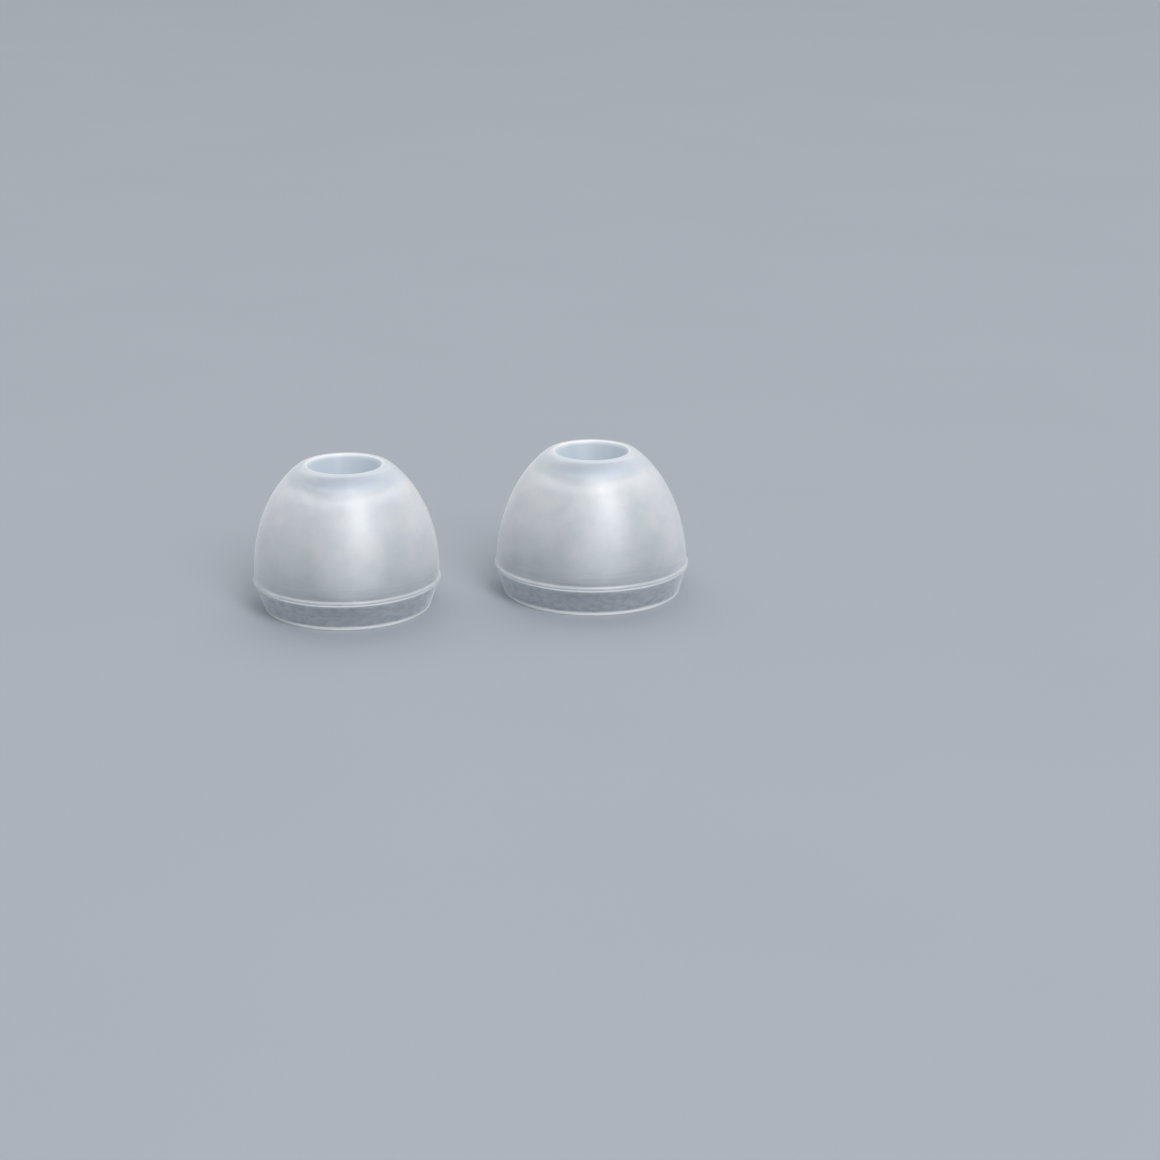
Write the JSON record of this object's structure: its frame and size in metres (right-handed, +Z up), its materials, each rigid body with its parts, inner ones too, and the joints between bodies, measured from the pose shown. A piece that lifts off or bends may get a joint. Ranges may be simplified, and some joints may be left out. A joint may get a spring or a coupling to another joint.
{
  "type": "silicone ear tips for in-ear monitors",
  "caption": "Pair of translucent two-shot silicone ear tips: domed umbrella with a flared mouth over a nozzle sleeve.",
  "frame": {"origin": "middle of the pair's footprint, on the plane that both rims stand on", "axes": "+X from the left tip's axis to the right tip's axis, +Z up along both axes, from the rims to the mouths"},
  "size_m": [0.0292, 0.013, 0.0096],
  "materials": {
    "soft_silicone": "translucent, fine matt moulded skin",
    "firm_silicone": "translucent, smooth moulded skin"
  },
  "bodies": {
    "root": {"left_umbrella": "soft_silicone", "left_core_sleeve": "firm_silicone", "right_umbrella": "soft_silicone", "right_core_sleeve": "firm_silicone"}
  },
  "joints": []
}
